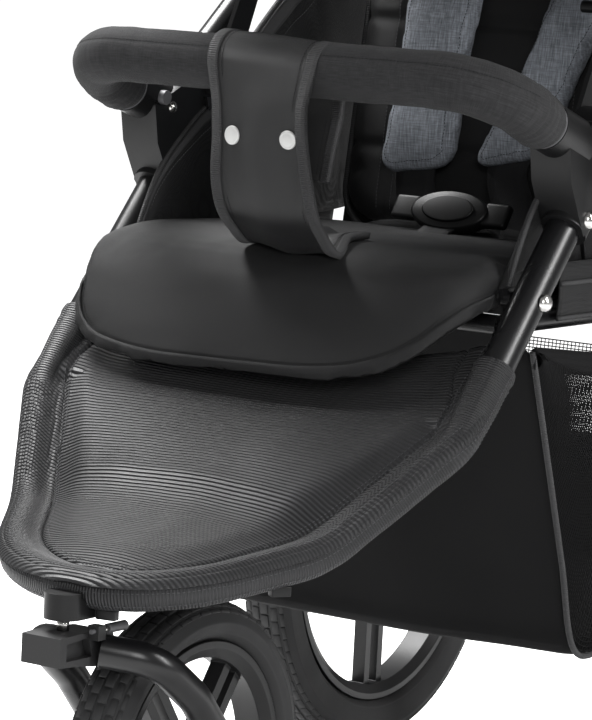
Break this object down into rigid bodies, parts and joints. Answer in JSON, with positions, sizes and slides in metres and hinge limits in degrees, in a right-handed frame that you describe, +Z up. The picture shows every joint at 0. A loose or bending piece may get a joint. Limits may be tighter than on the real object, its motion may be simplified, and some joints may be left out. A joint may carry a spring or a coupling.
{
  "type": "baby stroller",
  "caption": "Folding three-wheeled baby stroller with swivelling front wheel, padded bumper bar, reclining seat, telescoping hood, footrest and basket.",
  "frame": {"origin": "on the floor, under the centre of the whole stroller's box", "axes": "+Y towards the rear, -Y towards the front wheel, +X to the child's left, +Z up"},
  "size_m": [0.62, 1.103, 1.0169],
  "materials": {
    "black_tube": "gloss",
    "dark_plastic": "satin",
    "crown_plastic": "matt grained",
    "grey_plastic": "satin",
    "pedal_plastic": "satin",
    "nickel": "bright",
    "seat_fabric": "fine weave",
    "satin_fabric": "satin weave",
    "ribbed_fabric": "coated, fine ribs",
    "binding_tape": "ribbed tape",
    "basket_fabric": "coated, matt",
    "webbing": "woven webbing",
    "hood_fabric": "fine weave",
    "melange_grey": "melange weave",
    "melange_blue": "melange weave",
    "grip_foam": "fine grain",
    "cast_arm": "satin",
    "spring_steel": "satin",
    "tyre": "matt",
    "wheel_plastic": "satin"
  },
  "bodies": {
    "frame": {"main_tubes": "black_tube", "front_loop": "black_tube", "steering_head": "dark_plastic", "hub_castings": "dark_plastic", "frame_bolts": "nickel", "seat_frame": "black_tube", "seat_board": "seat_fabric", "seat_pad": "seat_fabric", "seat_wings": "seat_fabric", "footrest_panel": "ribbed_fabric", "footrest_binding": "binding_tape", "basket": "basket_fabric", "crotch_strap": "webbing", "harness_buckle": "dark_plastic", "hood_brackets": "dark_plastic", "hood_rear_panel": "hood_fabric"},
    "hood_middle": {"hood_middle_panel": "hood_fabric"},
    "hood_front": {"hood_front_panel": "hood_fabric"},
    "backrest": {"backrest_board": "dark_plastic", "backrest_pad": "seat_fabric", "shoulder_pads": "melange_blue", "harness_straps": "webbing"},
    "recline_lever": {"recline_lever": "dark_plastic"},
    "push_bar": {"push_tubes": "black_tube", "push_castings": "dark_plastic"},
    "left_fold_slider": {"left_fold_slider": "grey_plastic"},
    "right_fold_slider": {"right_fold_slider": "grey_plastic"},
    "handle": {"handle_joints": "dark_plastic", "handle_tube": "black_tube", "handle_grip": "grip_foam"},
    "left_height_button": {"left_height_button": "grey_plastic"},
    "right_height_button": {"right_height_button": "grey_plastic"},
    "rear_legs": {"leg_tubes": "black_tube", "leg_castings": "dark_plastic", "rear_beam": "black_tube", "left_spring": "spring_steel", "right_spring": "spring_steel"},
    "left_arm": {"left_suspension_arm": "cast_arm"},
    "right_arm": {"right_suspension_arm": "cast_arm"},
    "left_rear_wheel": {"left_rear_tyre": "tyre", "left_rear_rim": "wheel_plastic"},
    "right_rear_wheel": {"right_rear_tyre": "tyre", "right_rear_rim": "wheel_plastic"},
    "left_hub_button": {"left_hub_button": "grey_plastic"},
    "right_hub_button": {"right_hub_button": "grey_plastic"},
    "brake_pedal": {"brake_pedal": "pedal_plastic"},
    "left_brake_pin": {"left_brake_pin": "nickel"},
    "right_brake_pin": {"right_brake_pin": "nickel"},
    "fork": {"fork_crown": "crown_plastic", "fork_legs": "black_tube", "front_axle": "cast_arm"},
    "swivel_lock_knob": {"swivel_lock_knob": "grey_plastic"},
    "front_wheel": {"front_tyre": "tyre", "front_rim": "wheel_plastic"},
    "bumper": {"bumper_bar": "dark_plastic", "bumper_cover": "melange_grey", "bumper_strap": "satin_fabric"},
    "left_bumper_button": {"left_bumper_button": "grey_plastic"},
    "right_bumper_button": {"right_bumper_button": "grey_plastic"}
  },
  "joints": [
    {"name": "push_bar_fold", "type": "hinge", "parent": "frame", "child": "push_bar", "pos_m": [0, -0.1085, 0.635], "axis": [1, 0, 0], "range_deg": [0, 130]},
    {"name": "rear_leg_fold", "type": "hinge", "parent": "frame", "child": "rear_legs", "pos_m": [0, -0.1085, 0.635], "axis": [1, 0, 0], "range_deg": [-52, 0]},
    {"name": "left_fold_slide", "type": "slide", "parent": "push_bar", "child": "left_fold_slider", "axis": [0, 0.7727, 0.6347], "range_m": [0, 0.022], "stiffness_N_per_m": 300, "springref_m": -0.02},
    {"name": "right_fold_slide", "type": "slide", "parent": "push_bar", "child": "right_fold_slider", "axis": [0, 0.7727, 0.6347], "range_m": [0, 0.022], "stiffness_N_per_m": 300, "springref_m": -0.02},
    {"name": "handle_height", "type": "hinge", "parent": "push_bar", "child": "handle", "pos_m": [0, 0.22378, 0.90793], "axis": [1, 0, 0], "range_deg": [-35, 35]},
    {"name": "left_height_press", "type": "slide", "parent": "handle", "child": "left_height_button", "axis": [-1, 0, 0], "range_m": [0, 0.003], "stiffness_N_per_m": 400},
    {"name": "right_height_press", "type": "slide", "parent": "handle", "child": "right_height_button", "axis": [1, 0, 0], "range_m": [0, 0.003], "stiffness_N_per_m": 400},
    {"name": "left_suspension", "type": "hinge", "parent": "rear_legs", "child": "left_arm", "pos_m": [0, 0.2715, 0.248], "axis": [1, 0, 0], "range_deg": [0, 6], "stiffness_Nm_per_rad": 70, "springref_deg": -6.88, "deforming": ["left_spring"]},
    {"name": "right_suspension", "type": "hinge", "parent": "rear_legs", "child": "right_arm", "pos_m": [0, 0.2715, 0.248], "axis": [1, 0, 0], "range_deg": [0, 6], "stiffness_Nm_per_rad": 70, "springref_deg": -6.88, "deforming": ["right_spring"]},
    {"name": "left_rear_wheel_spin", "type": "hinge", "parent": "left_arm", "child": "left_rear_wheel", "pos_m": [0, 0.3515, 0.2], "axis": [1, 0, 0], "continuous": true},
    {"name": "right_rear_wheel_spin", "type": "hinge", "parent": "right_arm", "child": "right_rear_wheel", "pos_m": [0, 0.3515, 0.2], "axis": [1, 0, 0], "continuous": true},
    {"name": "left_hub_press", "type": "slide", "parent": "left_rear_wheel", "child": "left_hub_button", "axis": [-1, 0, 0], "range_m": [0, 0.003], "stiffness_N_per_m": 400},
    {"name": "right_hub_press", "type": "slide", "parent": "right_rear_wheel", "child": "right_hub_button", "axis": [1, 0, 0], "range_m": [0, 0.003], "stiffness_N_per_m": 400},
    {"name": "brake_press", "type": "hinge", "parent": "rear_legs", "child": "brake_pedal", "pos_m": [0, 0.3555, 0.276], "axis": [1, 0, 0], "range_deg": [-22, 0]},
    {"name": "left_brake_lock", "type": "slide", "parent": "left_arm", "child": "left_brake_pin", "axis": [1, 0, 0], "range_m": [0, 0.008]},
    {"name": "right_brake_lock", "type": "slide", "parent": "right_arm", "child": "right_brake_pin", "axis": [-1, 0, 0], "range_m": [0, 0.008]},
    {"name": "front_swivel", "type": "hinge", "parent": "frame", "child": "fork", "pos_m": [0, -0.5255, 0.30152], "axis": [0, 0, 1], "continuous": true},
    {"name": "swivel_lock_pull", "type": "slide", "parent": "fork", "child": "swivel_lock_knob", "axis": [0, 1, 0], "range_m": [0, 0.006], "stiffness_N_per_m": 400},
    {"name": "front_wheel_spin", "type": "hinge", "parent": "fork", "child": "front_wheel", "pos_m": [0, -0.3635, 0.138], "axis": [1, 0, 0], "continuous": true},
    {"name": "bumper_pull", "type": "slide", "parent": "frame", "child": "bumper", "axis": [0, -0.9507, 0.3102], "range_m": [0, 0.04]},
    {"name": "left_bumper_press", "type": "slide", "parent": "frame", "child": "left_bumper_button", "axis": [1, 0, 0], "range_m": [0, 0.0025], "stiffness_N_per_m": 400},
    {"name": "right_bumper_press", "type": "slide", "parent": "frame", "child": "right_bumper_button", "axis": [-1, 0, 0], "range_m": [0, 0.0025], "stiffness_N_per_m": 400},
    {"name": "hood_fold", "type": "hinge", "parent": "frame", "child": "hood_front", "pos_m": [0, -0.0635, 0.745], "axis": [1, 0, 0], "range_deg": [-72, 0]},
    {"name": "hood_middle_fold", "type": "hinge", "parent": "frame", "child": "hood_middle", "pos_m": [0, -0.0635, 0.745], "axis": [1, 0, 0], "range_deg": [-36, 0]},
    {"name": "backrest_recline", "type": "hinge", "parent": "frame", "child": "backrest", "pos_m": [0, 0.0535, 0.52], "axis": [1, 0, 0], "range_deg": [-55, 0]},
    {"name": "recline_lever_pull", "type": "hinge", "parent": "backrest", "child": "recline_lever", "pos_m": [0, 0.11179, 0.81981], "axis": [1, 0, 0], "range_deg": [0, 20], "stiffness_Nm_per_rad": 1.2, "springref_deg": -14.32}
  ],
  "couplings": [
    {"joint": "rear_leg_fold", "follows": "push_bar_fold", "ratio": -0.4},
    {"joint": "hood_middle_fold", "follows": "hood_fold", "ratio": 0.5},
    {"joint": "left_brake_lock", "follows": "brake_press", "m_per_rad": -0.020314},
    {"joint": "right_brake_lock", "follows": "brake_press", "m_per_rad": -0.020314}
  ]
}
